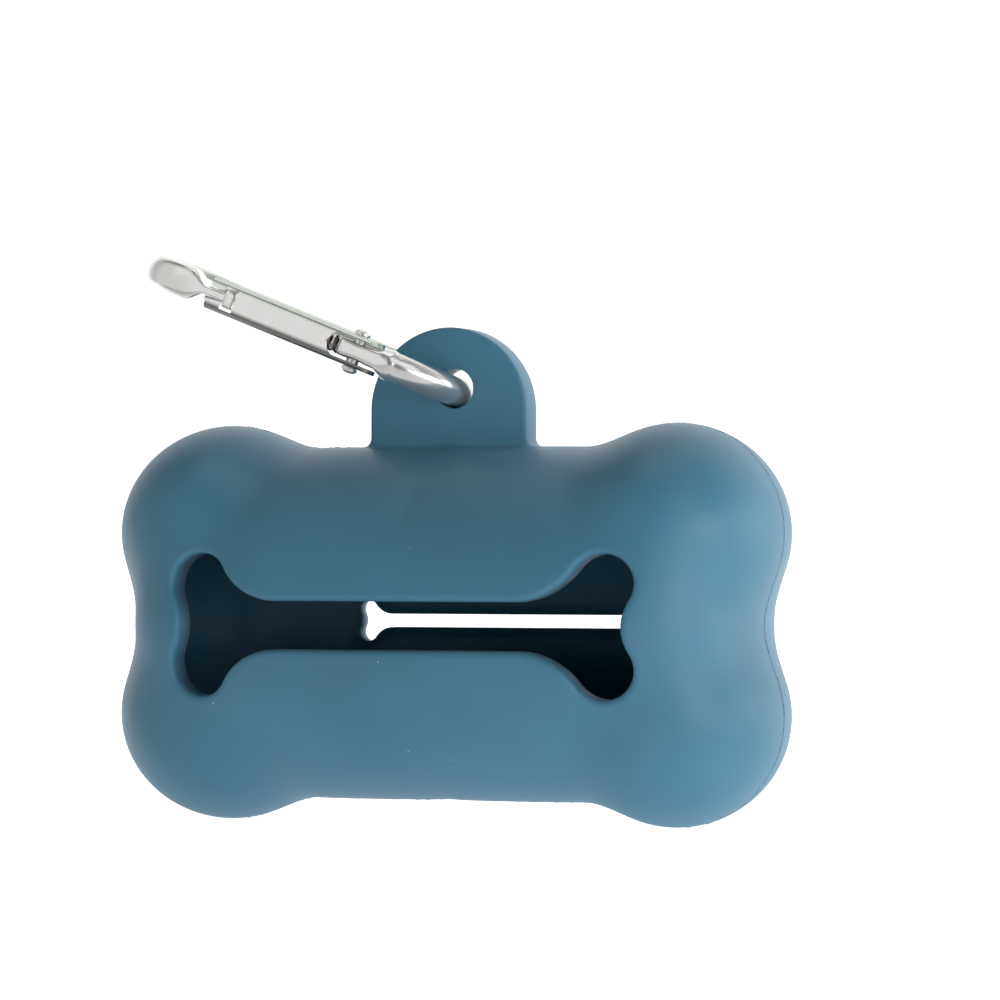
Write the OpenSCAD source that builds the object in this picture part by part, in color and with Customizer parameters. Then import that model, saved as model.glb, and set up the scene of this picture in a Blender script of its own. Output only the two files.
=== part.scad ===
// Bag dispenser for a dog lead: a hollow silicone case in the shape of a bone, with a wide
// slot in front for loading a roll and a narrow slot behind for pulling out bags. A tab on
// top has an eye, and a small spring clip hangs in it.
// The origin is under the middle of the case, +X to the right, +Y to the back, +Z up.

/* [Case] */
// Overall length from end to end
case_len = 80; // [76:0.5:90]
// Radius of the round barrel between the ends
barrel_r = 20.5; // [19:0.1:22]
// Radius of the four knobs, seen from the front
knob_r = 12.6; // [11.5:0.1:13.5]
// Distance between an upper and a lower knob's centre
knob_spread = 21; // [19:0.5:23]
// Front to back size of a knob
knob_depth = 33.4; // [30:0.2:38]
// How far the barrel's end stays behind the knobs' ends
end_inset = 2.4; // [1.5:0.1:3.5]
// Radius of the barrel's domed end
end_dome_r = 28.4; // [24:0.2:36]
// Thickness of the silicone
wall = 3; // [2:0.1:3.6]

/* [Blends] */
// Width of the blend round the barrel's end
rim_blend = 8; // [5:0.5:9]
// Width of the hollow blend between the barrel and a knob
waist_blend = 2.4; // [1:0.2:5]
// Width of the hollow blend between two knobs
knob_blend = 1; // [0.5:0.1:3]

/* [Loading slot] */
// Length of the front slot
front_len = 55.4; // [50:0.2:57]
// Height of the front slot's round ends
front_h = 16.3; // [15:0.1:18]
// Height of the front slot's neck
front_neck = 5.5; // [5:0.1:7]
// Radius of the front slot's round ends
front_end_r = 3.5; // [3:0.1:4]
// Radius between the front slot's neck and its round ends
front_fillet_r = 8; // [5:0.2:9]
// Radius of the notch in the front slot's ends
front_notch_r = 6; // [4:0.2:8]

/* [Dispensing slot] */
// Length of the rear slot
rear_len = 37; // [30:0.2:40]
// Height of the rear slot's round ends
rear_h = 5; // [4:0.1:6]
// Height of the rear slot's neck
rear_neck = 1.6; // [1.2:0.1:2.2]
// Radius of the rear slot's round ends
rear_end_r = 1.2; // [1:0.05:1.4]
// Radius between the rear slot's neck and its round ends
rear_fillet_r = 2.4; // [2:0.1:3]
// Radius of the notch in the rear slot's ends
rear_notch_r = 2; // [1.5:0.1:3]
// Rounding of both slots' outer edges
lip_r = 0.9; // [0.5:0.1:1]

/* [Tab] */
// Width of the tab
tab_w = 19.2; // [17:0.2:22]
// Thickness of the tab
tab_t = 4; // [3:0.1:4.4]
// Height of the tab above the barrel
tab_h = 13.8; // [13:0.2:17]
// Diameter of the eye
eye_d = 5; // [4.9:0.05:5.4]
// Distance from the tab's top to the eye's centre
eye_drop = 7.2; // [5.5:0.1:7.5]
// How far the eye's centre lies right of the tab's middle
eye_side = 0.8; // [-1:0.1:1]

/* [Clip frame] */
// Overall length of the clip
clip_len = 42.8; // [42:0.2:56]
// Overall width of the clip's wire bend
clip_w = 19.2; // [18.6:0.1:23]
// Diameter of the wire
wire_d = 3.2; // [2.8:0.05:3.3]
// Width of the pressed nose
nose_w = 3.9; // [3.4:0.1:4.4]
// Thickness of the pressed nose
nose_t = 3.1; // [2.4:0.1:3.2]
// Length of the nose's taper before the catch
nose_stub = 1.5; // [1:0.1:2.5]
// Thickness of the pressed tongue at the hinge
tongue_t = 2.2; // [1.8:0.05:2.2]
// Length of the tongue beyond the rivet
tongue_end = 1.9; // [1.7:0.1:2.2]
// Diameter of the collar beside the tongue
collar_d = 3.5; // [3.3:0.05:3.8]
// Angle that the clip leans up from the horizontal
clip_lean = 21.4; // [0:0.2:60]
// Angle that the clip is rolled about its own length
clip_roll = 5.6; // [0:0.2:6]
// How far the wire hangs below the eye's centre
wire_drop = 0.35; // [0:0.05:0.4]
// How far the wire lies left of the eye's centre
wire_side = 0.25; // [0:0.05:0.3]

/* [Catch] */
// Width of the catch's T-shaped head
catch_head_w = 2.1; // [1.9:0.05:2.2]
// Width of the catch's neck
catch_neck_w = 1; // [0.8:0.05:1.1]
// Length of the catch's head
catch_head_l = 1.2; // [1:0.1:1.5]
// Length of the catch's neck beyond the nose
catch_neck_l = 2.5; // [2.2:0.1:3]
// Thickness of the catch
catch_t = 1.2; // [1:0.1:1.4]

/* [Gate] */
// Outside width of the gate's channel
gate_w = 3.8; // [3.7:0.05:4.2]
// Depth of the channel
gate_depth = 3.6; // [3.4:0.1:4]
// Thickness of the gate's sheet
gate_t = 0.5; // [0.4:0.05:0.5]
// Outside radius of the channel's folds
fold_r = 0.7; // [0.6:0.05:0.9]
// Distance from the wire in the eye to the rivet
pivot_x = 10.6; // [10.2:0.1:11.5]
// Reach of the gate's ears past the rivet, towards the eye
ear_reach = 3; // [2.6:0.1:3]
// Distance from the rivet to the end of the web's cut-out
web_start = 3.3; // [3:0.1:3.6]
// Length of the catch's pocket in the web
pocket_l = 1.8; // [1.8:0.1:2.1]
// Diameter of the tooling hole in the ears
tooling_d = 0.9; // [0.6:0.1:1]
// Distance from the rivet to the tooling hole
tooling_x = 2.15; // [2.1:0.05:2.2]

/* [Rivet and spring] */
// Diameter of the rivet
rivet_d = 1.5; // [1.2:0.05:1.6]
// Diameter of the rivet's heads
rivet_head_d = 1.9; // [1.8:0.1:2.6]
// Height of the rivet's heads
rivet_head_h = 0.7; // [0.5:0.1:1]
// Outside diameter of the coil
coil_d = 2.1; // [1.9:0.05:2.1]
// Diameter of the coil's wire
coil_wire = 0.32; // [0.25:0.01:0.34]
// Number of turns in the coil
coil_turns = 12; // [8:1:12]
// Length of the coil
coil_len = 10.4; // [10:0.1:12]
// Diameter of the guide pin's head
guide_d = 2.1; // [1.8:0.05:2.1]
// Thickness of the guide pin's head
guide_head = 1.1; // [0.8:0.1:1.4]
// Diameter of the guide pin's stem
stem_d = 0.9; // [0.7:0.05:1]
// Length of the guide pin's stem inside the coil
stem_len = 6; // [4:0.2:8]

/* [Hidden] */

$fn = 64;
// Clearances between pieces
face_gap = 0.3;
running_gap = 0.05;
head_gap = 0.08;
joined = 0.2;
beyond = 1;

// Steps of the case's surface: along a quarter of a slot's edge, and from slot to seam
neck_steps = 4;
fillet_steps = 3;
end_steps = 9;
notch_steps = 2;
lip_steps = 2;
outer_steps = 9;
inner_steps = 6;
straight_steps = neck_steps + fillet_steps;
fan_steps = end_steps + notch_steps;
root_steps = 16;

// Places in the case
knob_x = case_len / 2 - knob_r;
knob_z = knob_spread / 2;
mid_z = knob_z + knob_r;
barrel_end = case_len / 2 - end_inset;
far = case_len;
tab_top = mid_z + barrel_r + tab_h;
tab_root = mid_z + barrel_r - wall / 2;
eye_z = tab_top - eye_drop;
// The upright part of the surface net runs over the barrel, and the fan turns round an end
fan_x = knob_x - knob_r * 0.6;

// A slot's shape: place and radius of its round ends, neck, fillet and notch
front = [front_len / 2 - front_end_r, front_h / 2 - front_end_r, front_end_r,
         front_neck / 2, front_fillet_r, front_notch_r];
rear = [rear_len / 2 - rear_end_r, rear_h / 2 - rear_end_r, rear_end_r,
        rear_neck / 2, rear_fillet_r, rear_notch_r];

// Places in the clip, in its own plane: x from the wire in the eye to the nose, y to the back
wire_r = wire_d / 2;
bend_r = (clip_w - wire_d) / 2;
nose_x = clip_len - wire_r - nose_t / 2 - bend_r;
stub_x = nose_x - nose_stub;
tongue_x = pivot_x + tongue_end;
press_angle = acos((bend_r - (pivot_x - ear_reach - face_gap)) / bend_r);
gate_end = stub_x - 1.5 * face_gap;
inner_w = gate_w - 2 * gate_t;
catch_y = -bend_r - gate_depth / 2 + face_gap / 2;
head_x = stub_x - catch_neck_l - catch_head_l;
pocket_x = head_x - face_gap;
coil_x = tongue_x + running_gap;
guide_x = coil_x + coil_len + running_gap;
seat_x = guide_x + guide_head + running_gap;
seat_t = 0.6;
seat_gap = 1;

// Smaller of two distances, with a hollow blend of width k where they meet
function soft_min(a, b, k) =
    let (h = max(k - abs(a - b), 0) / k)
    min(a, b) - h * h * k / 4;

// Distance to a knob in the upper or lower row
function knob(x, y, z, row_z) =
    (norm([(x - knob_x) / knob_r, y / (knob_depth / 2), (z - row_z) / knob_r]) - 1) * knob_r;

// Distance to the barrel, round along X with domed ends
function barrel(x, y, z) =
    let (side = norm([y, z]) - barrel_r,
         dome = norm([x - (barrel_end - end_dome_r), y, z]) - end_dome_r)
    -soft_min(-side, -dome, rim_blend);

// Distance to the case's skin, below zero inside, from the case's centre
function skin(x, y, z) =
    let (ax = abs(x),
         az = abs(z),
         knobs = soft_min(knob(ax, y, az, knob_z), knob(ax, y, az, -knob_z), knob_blend))
    soft_min(barrel(ax, y, az), knobs, waist_blend);

// Depth of the skin behind the point x, z, found by halving
function depth(x, z, level, low = 0, high = far, n = root_steps) =
    n == 0 ? (low + high) / 2 :
    let (mid = (low + high) / 2)
    skin(x, mid, z) < level ?
        depth(x, z, level, mid, high, n - 1) :
        depth(x, z, level, low, mid, n - 1);

// Distance along a direction from a point on the long axis to the skin, in the seam's plane
function reach(x, dir, level, low = 0, high = far, n = root_steps) =
    n == 0 ? (low + high) / 2 :
    let (mid = (low + high) / 2)
    skin(x + mid * dir[0], 0, mid * dir[1]) < level ?
        reach(x, dir, level, mid, high, n - 1) :
        reach(x, dir, level, low, mid, n - 1);

function on_circle(x, z, r, angle) = [x + r * cos(angle), z + r * sin(angle)];

// A quarter of a bone-shaped outline that is grown by g: neck, fillet, round end, notch
function bone_quarter(b, g) =
    let (cx = b[0], cz = b[1], r = b[2] + g, h = b[3] + g, rf = b[4] - g, rn = b[5] - g,
         fx = cx - sqrt(pow(rf + r, 2) - pow(h + rf - cz, 2)),
         nx = cx + sqrt(pow(rn + r, 2) - pow(cz, 2)),
         to_end = atan2(cz - h - rf, cx - fx),
         to_notch = atan2(-cz, nx - cx))
    concat(
        [for (i = [0:neck_steps - 1]) [fx * i / neck_steps, h]],
        [for (i = [0:fillet_steps - 1])
            on_circle(fx, h + rf, rf, -90 + (to_end + 90) * i / fillet_steps)],
        [for (i = [0:end_steps - 1])
            on_circle(cx, cz, r, to_end + 180 + (to_notch - to_end - 180) * i / end_steps)],
        [for (i = [0:notch_steps])
            on_circle(nx, 0, rn, to_notch + 180 - to_notch * i / notch_steps)]);

// A quarter of the case's outline in the seam's plane, point for point with a slot's
function seam_quarter(level) = concat(
    [for (i = [0:straight_steps - 1])
        let (x = fan_x * i / straight_steps)
        [x, reach(x, [0, 1], level)]],
    [for (i = [0:fan_steps])
        let (angle = 90 - 90 * i / fan_steps, dir = [cos(angle), sin(angle)])
        [fan_x, 0] + reach(fan_x, dir, level) * dir]);

// The whole outline from its upper right quarter
function all_round(q) =
    let (last = len(q) - 1)
    concat(
        [for (i = [0:last - 1]) q[i]],
        [for (i = [last:-1:1]) [q[i][0], -q[i][1]]],
        [for (i = [0:last - 1]) [-q[i][0], -q[i][1]]],
        [for (i = [last:-1:1]) [-q[i][0], q[i][1]]]);

// One ring of the skin at a share from a slot's edge to the seam, on the front or the back
function skin_ring(edge, seam, side, share, level) =
    [for (i = [0:len(edge) - 1])
        let (p = edge[i] + (seam[i] - edge[i]) * share)
        [p[0], share == 1 ? 0 : side * depth(p[0], p[1], level), p[1]]];

// One ring of a slot's rounded outer edge, from the slot's wall at 90 to the skin at 0
function lip_ring(slot, side, angle) =
    [for (p = all_round(bone_quarter(slot, lip_r * (1 - sin(angle)))))
        [p[0], side * (depth(p[0], p[1], 0) - lip_r * (1 - cos(angle))), p[1]]];

// The rings run over the front, round the seam, over the back, and home along the inside
function case_rings() =
    let (front_edge = all_round(bone_quarter(front, lip_r)),
         rear_edge = all_round(bone_quarter(rear, lip_r)),
         front_hole = all_round(bone_quarter(front, 0)),
         rear_hole = all_round(bone_quarter(rear, 0)),
         outside = all_round(seam_quarter(0)),
         inside = all_round(seam_quarter(-wall)))
    concat(
        [for (i = [0:lip_steps]) lip_ring(front, -1, 90 - 90 * i / lip_steps)],
        [for (i = [1:outer_steps])
            skin_ring(front_edge, outside, -1, sin(90 * i / outer_steps), 0)],
        [for (i = [outer_steps - 1:-1:1])
            skin_ring(rear_edge, outside, 1, sin(90 * i / outer_steps), 0)],
        [for (i = [0:lip_steps]) lip_ring(rear, 1, 90 * i / lip_steps)],
        [for (i = [0:inner_steps])
            skin_ring(rear_hole, inside, 1, sin(90 * i / inner_steps), -wall)],
        [for (i = [inner_steps - 1:-1:0])
            skin_ring(front_hole, inside, -1, sin(90 * i / inner_steps), -wall)]);

// Triangles of a net that closes on itself both ways
function net_faces(rows, columns) =
    [for (r = [0:rows - 1], c = [0:columns - 1])
        let (r2 = (r + 1) % rows, c2 = (c + 1) % columns,
             a = r * columns + c, b = r * columns + c2,
             d = r2 * columns + c, e = r2 * columns + c2)
        each [[a, d, e], [a, e, b]]];

module case_shell() {
    rings = case_rings();
    polyhedron([for (ring = rings) each ring], net_faces(len(rings), len(rings[0])));
}

module tab_outline() {
    translate([0, tab_top - tab_w / 2]) circle(d = tab_w);
    translate([-tab_w / 2, tab_root]) square([tab_w, tab_top - tab_w / 2 - tab_root]);
}

module tab() {
    rotate([90, 0, 0]) linear_extrude(tab_t, center = true) difference() {
        tab_outline();
        translate([eye_side, eye_z]) circle(d = eye_d);
    }
}

module case() {
    color([0.27, 0.46, 0.55]) {
        union() {
            translate([0, 0, mid_z]) case_shell();
            tab();
        }
    }
}

// Puts the clip's plane in the eye, leaning up to the left and a little rolled
module place_clip() {
    translate([eye_side - wire_side, 0, eye_z - wire_drop])
        rotate([clip_roll, 180 + clip_lean, 0]) children();
}

// Section of the pressed nose: across the clip's plane in y
module nose_section() {
    square([nose_t, nose_w - nose_t], center = true);
    for (s = [-1, 1]) translate([0, s * (nose_w - nose_t) / 2]) circle(d = nose_t);
}

// A length of bar whose section is the children, bent round a centre at x
module bend(x, from, angle) {
    translate([x, 0, 0]) rotate([0, 0, from]) rotate_extrude(angle = angle)
        translate([bend_r, 0]) children();
}

module eye_bend() {
    bend(bend_r, 90, 90 + press_angle) circle(wire_r);
    bend(bend_r, 180 + press_angle - 12, 9) circle(d = collar_d);
}

module tongue() {
    corner_r = 0.6;
    bend(bend_r, 178 + press_angle, 92 - press_angle) square([wire_d, tongue_t], center = true);
    translate([0, -bend_r, 0]) linear_extrude(tongue_t, center = true) {
        translate([bend_r, -wire_r]) square([tongue_x - corner_r - bend_r, wire_d]);
        translate([bend_r, -wire_r + corner_r])
            square([tongue_x - bend_r, wire_d - 2 * corner_r]);
        for (s = [-1, 1])
            translate([tongue_x - corner_r, s * (wire_r - corner_r)]) circle(corner_r);
    }
}

// The round wire runs on into the nose and tapers away inside it
module spine() {
    run_on = 0.6;
    taper_l = 2.2;
    translate([bend_r, bend_r, 0]) rotate([0, 90, 0]) {
        cylinder(r = wire_r, h = nose_x - bend_r + run_on);
        translate([0, 0, nose_x - bend_r + run_on])
            cylinder(r1 = wire_r, r2 = nose_t / 2 - joined, h = taper_l);
    }
}

// The nose narrows to the catch's neck
module nose() {
    root_w = catch_neck_w / 2 + joined;
    bend(nose_x, -90, 180) nose_section();
    intersection() {
        translate([stub_x, -bend_r, 0]) rotate([90, 0, 90]) linear_extrude(nose_stub)
            nose_section();
        rotate([90, 0, 0]) linear_extrude(2 * clip_w, center = true)
            polygon([[stub_x, -root_w], [nose_x + joined, -nose_w / 2 - joined],
                [nose_x + joined, nose_w / 2 + joined], [stub_x, root_w]]);
    }
}

// The catch is a T in the web's plane
module catch() {
    translate([0, catch_y + catch_t / 2, 0]) rotate([90, 0, 0])
        linear_extrude(catch_t, center = true) {
            translate([head_x + joined, -catch_neck_w / 2])
                square([stub_x - head_x, catch_neck_w]);
            translate([head_x, -catch_head_w / 2]) square([catch_head_l, catch_head_w]);
        }
}

module rivet_bore(r) {
    translate([pivot_x, -bend_r, -gate_w]) cylinder(r = r, h = 2 * gate_w);
}

module clip_frame() {
    color([0.78, 0.79, 0.8]) place_clip() difference() {
        union() {
            eye_bend();
            tongue();
            spine();
            nose();
            catch();
        }
        rivet_bore(rivet_d / 2);
    }
}

// Section of the gate's channel, open towards the middle of the clip
module channel_section() {
    difference() {
        union() {
            translate([fold_r - gate_depth / 2, -gate_w / 2])
                square([gate_depth - fold_r, gate_w]);
            translate([-gate_depth / 2, fold_r - gate_w / 2])
                square([gate_depth / 2, gate_w - 2 * fold_r]);
            for (s = [-1, 1])
                translate([fold_r - gate_depth / 2, s * (gate_w / 2 - fold_r)]) circle(fold_r);
        }
        translate([gate_t - gate_depth / 2, -inner_w / 2]) square([gate_depth, inner_w]);
    }
}

// Side view of the channel: straight, with round ears at the rivet
module gate_side() {
    ear_x = pivot_x - ear_reach + gate_depth / 2;
    translate([ear_x, -bend_r]) circle(d = gate_depth);
    translate([ear_x, -bend_r - gate_depth / 2]) square([gate_end - ear_x, gate_depth]);
}

// Openings in the web, seen from outside: the hinge's cut-out and the catch's pocket
module web_openings() {
    cut_x = pivot_x + web_start;
    translate([0, -inner_w / 2]) square([cut_x - inner_w / 2, inner_w]);
    translate([cut_x - inner_w / 2, 0]) circle(d = inner_w);
    translate([pocket_x, -inner_w / 2]) square([pocket_l, inner_w]);
    translate([pocket_x, -catch_neck_w / 2 - face_gap])
        square([gate_end + beyond - pocket_x, catch_neck_w + 2 * face_gap]);
}

// Two dents in the flanges hold the guide pin's head
module spring_seat() {
    for (s = [-1, 1])
        translate([seat_x, -bend_r - gate_depth / 4, s > 0 ? seat_gap / 2 : -inner_w / 2 - joined])
            cube([seat_t, gate_depth / 2, (inner_w - seat_gap) / 2 + joined]);
}

module clip_gate() {
    color([0.83, 0.83, 0.82]) place_clip() difference() {
        union() {
            intersection() {
                translate([0, -bend_r, 0]) rotate([90, 0, 90]) linear_extrude(gate_end)
                    channel_section();
                translate([0, 0, -gate_w]) linear_extrude(2 * gate_w) gate_side();
            }
            spring_seat();
        }
        rivet_bore(rivet_d / 2 + running_gap);
        translate([pivot_x - tooling_x, -bend_r, -gate_w])
            cylinder(d = tooling_d, h = 2 * gate_w);
        translate([0, -bend_r - gate_depth / 2 + gate_t, 0]) rotate([90, 0, 0])
            linear_extrude(gate_t + beyond) web_openings();
    }
}

module gate_rivet() {
    head_z = gate_w / 2 + head_gap;
    color([0.8, 0.8, 0.81]) place_clip() translate([pivot_x, -bend_r, 0]) {
        cylinder(d = rivet_d, h = 2 * head_z + 2 * joined, center = true);
        for (s = [-1, 1])
            translate([0, 0, s * (head_z + rivet_head_h / 2)])
                cylinder(d = rivet_head_d, h = rivet_head_h, center = true);
    }
}

// The coil is one tube on a helix along the gate
coil_sides = 6;
curl_rings = 8;
coil_r = (coil_d - coil_wire) / 2;
coil_run = coil_len - coil_wire;
coil_rings = round(coil_turns * curl_rings);

function coil_centre(t) =
    [coil_x + coil_wire / 2 + coil_run * t,
     -bend_r + coil_r * cos(360 * coil_turns * t),
     coil_r * sin(360 * coil_turns * t)];

function coil_ring(i) =
    let (t = i / coil_rings, turn = 360 * coil_turns * t, c = coil_centre(t),
         outward = [0, cos(turn), sin(turn)],
         slope = coil_run / coil_turns / (2 * PI * coil_r),
         along = [slope, -sin(turn), cos(turn)] / norm([slope, 1]),
         across = cross(along, outward))
    [for (s = [0:coil_sides - 1])
        let (a = 360 * s / coil_sides)
        c + coil_wire / 2 * (cos(a) * outward + sin(a) * across)];

function coil_sides_faces() =
    [for (r = [0:coil_rings - 1], s = [0:coil_sides - 1])
        let (s2 = (s + 1) % coil_sides, a = r * coil_sides + s, b = r * coil_sides + s2,
             d = a + coil_sides, e = b + coil_sides)
        each [[a, d, e], [a, e, b]]];

function coil_end_faces(first, flip) =
    [for (s = [1:coil_sides - 2])
        flip ? [first, first + s, first + s + 1] : [first, first + s + 1, first + s]];

// Least gap between one turn and the next, measured on the helix's own points
coil_gap = min([for (i = [0:coil_rings - curl_rings - 1], j = [curl_rings - 1:curl_rings + 1])
    i + j > coil_rings ? far :
    norm(coil_centre(i / coil_rings) - coil_centre((i + j) / coil_rings)) - coil_wire]);
echo(coil_gap = coil_gap);

module gate_spring() {
    color([0.7, 0.7, 0.72]) place_clip()
        polyhedron([for (i = [0:coil_rings]) each coil_ring(i)],
            concat(coil_sides_faces(), coil_end_faces(0, true),
                coil_end_faces(coil_rings * coil_sides, false)));
}

// The pin's head bears on the dents, and its stem keeps the coil straight
module spring_guide() {
    color([0.72, 0.55, 0.33]) place_clip() translate([guide_x, -bend_r, 0])
        rotate([0, 90, 0]) {
            cylinder(d = guide_d, h = guide_head);
            translate([0, 0, -stem_len]) cylinder(d = stem_d, h = stem_len + guide_head);
        }
}

case();
clip_frame();
clip_gate();
gate_rivet();
gate_spring();
spring_guide();
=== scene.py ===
"""Bone-shaped bag case in soft silicone, hung from a small sprung clip.

Lengths in the making of each piece are in millimetres, and the meshes are in metres.
"""

import bmesh
import bpy
import numpy as np
from mathutils import Matrix, Vector


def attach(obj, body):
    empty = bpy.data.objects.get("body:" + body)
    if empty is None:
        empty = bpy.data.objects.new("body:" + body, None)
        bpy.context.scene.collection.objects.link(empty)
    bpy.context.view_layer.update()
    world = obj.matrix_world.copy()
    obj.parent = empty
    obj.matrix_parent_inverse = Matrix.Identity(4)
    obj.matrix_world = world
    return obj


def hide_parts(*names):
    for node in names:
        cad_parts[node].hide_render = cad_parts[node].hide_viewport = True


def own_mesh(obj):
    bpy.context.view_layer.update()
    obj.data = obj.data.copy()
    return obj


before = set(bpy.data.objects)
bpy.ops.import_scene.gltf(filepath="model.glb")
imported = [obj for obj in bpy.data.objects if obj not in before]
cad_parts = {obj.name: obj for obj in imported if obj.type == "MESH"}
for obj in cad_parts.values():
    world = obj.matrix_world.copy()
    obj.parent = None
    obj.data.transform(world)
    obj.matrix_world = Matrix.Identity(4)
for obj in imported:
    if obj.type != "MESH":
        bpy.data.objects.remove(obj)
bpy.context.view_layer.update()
MM = 0.001

# The studio: a pale table that runs up behind the case, in the soft light of a white tent.
# The camera stands a little to the right of the case and almost level with it, far off and
# with a long lens, as small goods are photographed.
CASE_MIDDLE = np.array([0.0, 0.0, 23.1])
CAMERA_TURN = np.radians(20.3)
CAMERA_RISE = np.radians(0.96)
CAMERA_ROLL = np.radians(0.06)
CAMERA_DISTANCE = 580.0
FOCAL_PIXELS = 4997.0
PICTURE_SIDE = 1000.0
MIDDLE_IN_PICTURE = (453.3, 623.4)

scene = bpy.context.scene
scene.view_settings.view_transform = "Standard"

to_camera = Vector((
    np.sin(CAMERA_TURN) * np.cos(CAMERA_RISE),
    -np.cos(CAMERA_TURN) * np.cos(CAMERA_RISE),
    np.sin(CAMERA_RISE),
))
camera_data = bpy.data.cameras.new("camera")
camera_data.sensor_width = 36.0
camera_data.lens = FOCAL_PIXELS * camera_data.sensor_width / PICTURE_SIDE
camera_data.clip_start = 0.01
camera_data.clip_end = 20.0
camera = bpy.data.objects.new("camera", camera_data)
scene.collection.objects.link(camera)
scene.camera = camera

# The lens looks past the case, so that the case's middle falls at its place in the picture
seen_at = Vector((
    MIDDLE_IN_PICTURE[0] - PICTURE_SIDE / 2,
    PICTURE_SIDE / 2 - MIDDLE_IN_PICTURE[1],
    -FOCAL_PIXELS,
)).normalized()
level_look = to_camera.to_track_quat("Z", "Y")
aim = seen_at.rotation_difference(Vector((0, 0, -1)))
roll = Matrix.Rotation(CAMERA_ROLL, 4, "Z")
camera.matrix_world = (
    Matrix.Translation((Vector(CASE_MIDDLE) + to_camera * CAMERA_DISTANCE) * MM)
    @ level_look.to_matrix().to_4x4() @ roll @ aim.to_matrix().to_4x4()
)


def new_material(name):
    """A new node material, its links function and its shader node."""
    material = bpy.data.materials.new(name)
    material.use_nodes = True
    nodes = material.node_tree.nodes
    return material, nodes, material.node_tree.links, nodes["Principled BSDF"]


def math(nodes, links, operation, *values):
    """One arithmetic node on sockets or plain numbers, and its result."""
    node = nodes.new("ShaderNodeMath")
    node.operation = operation
    for socket, value in zip(node.inputs, values):
        if isinstance(value, (int, float)):
            socket.default_value = value
        else:
            links.new(value, socket)
    return node.outputs[0]


def ramp(nodes, links, value, start, end, low, high):
    """A socket's value carried from the range start to end into the range low to high."""
    node = nodes.new("ShaderNodeMapRange")
    links.new(value, node.inputs["Value"])
    for name, number in (
            ("From Min", start), ("From Max", end), ("To Min", low), ("To Max", high)):
        node.inputs[name].default_value = number
    return node.outputs["Result"]


LIT_FROM_BELOW, LIT_FROM_RIGHT = 0.70, 1.75
GLOW_WHERE_SEEN = 0.28
MIRRORED_IN_FRONT, MIRRORED_BEHIND = 0.06, 0.9


def ray_kinds(nodes, links):
    """Two sockets: 1 for a ray that is seen, straight or through what is clear, and 1 for a
    ray that is mirrored in something that shines."""
    rays = nodes.new("ShaderNodeLightPath")
    seen = math(nodes, links, "MAXIMUM",
                rays.outputs["Is Camera Ray"], rays.outputs["Is Transmission Ray"])
    return seen, rays.outputs["Is Glossy Ray"]


def glow_strength(nodes, links):
    """How bright the table glows: as a light table that is brighter to the right where it
    lights the case, white where it is seen, and in what shines, white behind the case and
    dim in front of it."""
    seen, mirrored = ray_kinds(nodes, links)
    place = nodes.new("ShaderNodeSeparateXYZ")
    links.new(nodes.new("ShaderNodeTexCoord").outputs["Object"], place.inputs[0])
    behind = ramp(nodes, links, place.outputs["Y"], -0.10, 0.10,
                  MIRRORED_IN_FRONT, MIRRORED_BEHIND)
    from_right = ramp(nodes, links, place.outputs["X"], 0.0, 0.28,
                      LIT_FROM_BELOW, LIT_FROM_RIGHT)
    direct = math(nodes, links, "SUBTRACT", 1.0, mirrored)
    plain = math(nodes, links, "MULTIPLY", direct, from_right)
    return math(nodes, links, "ADD",
                math(nodes, links, "MULTIPLY_ADD", seen, GLOW_WHERE_SEEN, plain),
                math(nodes, links, "MULTIPLY", mirrored, behind))


def table_sheet(width, front, back, height, bend, steps):
    """A sheet swept from the table up the backdrop: flat, a quarter circle, then upright."""
    turn = np.linspace(0, np.pi / 2, steps)
    y = np.concatenate([[front], back - bend + bend * np.sin(turn), [back]])
    z = np.concatenate([[0], bend - bend * np.cos(turn), [height]])
    x = np.array([-width / 2, width / 2])
    points = np.stack([
        np.tile(x, len(y)), np.repeat(y, 2), np.repeat(z, 2),
    ], axis=1)
    row = np.arange(len(y) - 1)[:, None] * 2
    return points, row + np.array([[0, 1, 3, 2]])


points, faces = table_sheet(width=6.0, front=-3.0, back=2.2, height=4.0, bend=0.8, steps=24)
sheet = bpy.data.meshes.new("table")
sheet.from_pydata(points.tolist(), [], faces.tolist())
sheet.shade_smooth()
table = bpy.data.objects.new("table", sheet)
scene.collection.objects.link(table)
material, nodes, links, shader = new_material("pale_table")
shader.inputs["Base Color"].default_value = (0.80, 0.80, 0.80, 1)
shader.inputs["Roughness"].default_value = 0.9
shader.inputs["Specular IOR Level"].default_value = 0.1
glow = nodes.new("ShaderNodeEmission")
glow.inputs["Color"].default_value = (1, 1, 1, 1)
links.new(glow_strength(nodes, links), glow.inputs["Strength"])
both = nodes.new("ShaderNodeAddShader")
links.new(shader.outputs[0], both.inputs[0])
links.new(glow.outputs[0], both.inputs[1])
links.new(both.outputs[0], nodes["Material Output"].inputs["Surface"])
sheet.materials.append(material)

# What the camera sees round the table is white. What shines in metal and silicone is white
# behind and below the case and dark above and in front of it, but for a white card beside
# the lens on the left and a wider, dimmer one at the left side.
DARKEST = 0.03
world = bpy.data.worlds.new("tent")
scene.world = world
world.use_nodes = True
nodes, links = world.node_tree.nodes, world.node_tree.links
tent = nodes["Background"]
tent.inputs["Color"].default_value = (1, 1, 1, 1)
direction = nodes.new("ShaderNodeTexCoord").outputs["Generated"]


def card(way, start, end, white):
    """How white a round card is in a direction: it fades in as the cosine of the angle to
    the card's middle goes from start to end."""
    toward = nodes.new("ShaderNodeVectorMath")
    toward.operation = "DOT_PRODUCT"
    links.new(direction, toward.inputs[0])
    toward.inputs[1].default_value = way
    return ramp(nodes, links, toward.outputs["Value"], start, end, 0.0, white)


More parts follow.
